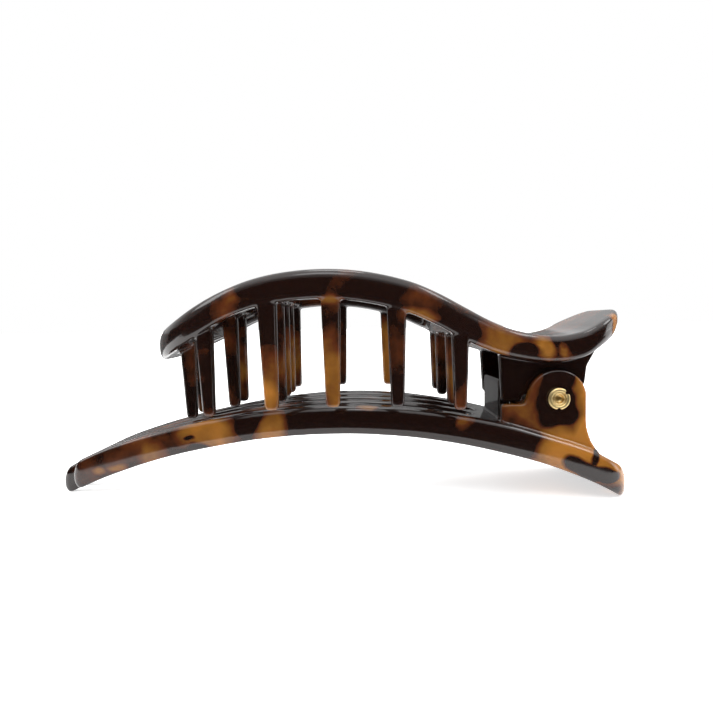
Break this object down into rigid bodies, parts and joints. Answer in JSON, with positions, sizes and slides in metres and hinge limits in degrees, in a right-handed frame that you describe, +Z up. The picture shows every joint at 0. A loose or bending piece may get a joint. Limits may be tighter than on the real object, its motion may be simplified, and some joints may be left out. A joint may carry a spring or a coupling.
{
  "type": "flat hair clip",
  "caption": "Flat tortoiseshell hair clip with an open oval toothed jaw hinged on a curved prong plate, opened by squeezing its thumb tabs.",
  "frame": {"origin": "under the middle of the clip, on the surface that it rests on", "axes": "+X from the prong tips to the thumb tabs, +Y across the clip, +Z up"},
  "size_m": [0.1136, 0.0408, 0.0437],
  "materials": {
    "tortoiseshell": "polished mottled acetate",
    "brass": "rolled",
    "spring_steel": "drawn wire"
  },
  "bodies": {
    "plate": {"lower_jaw": "tortoiseshell", "hinge_rivet": "brass", "torsion_spring": "spring_steel"},
    "ring": {"upper_jaw": "tortoiseshell"}
  },
  "joints": [
    {"name": "jaw_hinge", "type": "hinge", "parent": "plate", "child": "ring", "pos_m": [0.043, 0, 0.0193], "axis": [0, 1, 0], "range_deg": [0, 45], "stiffness_Nm_per_rad": 0.12, "springref_deg": -40.11, "deforming": ["torsion_spring"]}
  ]
}
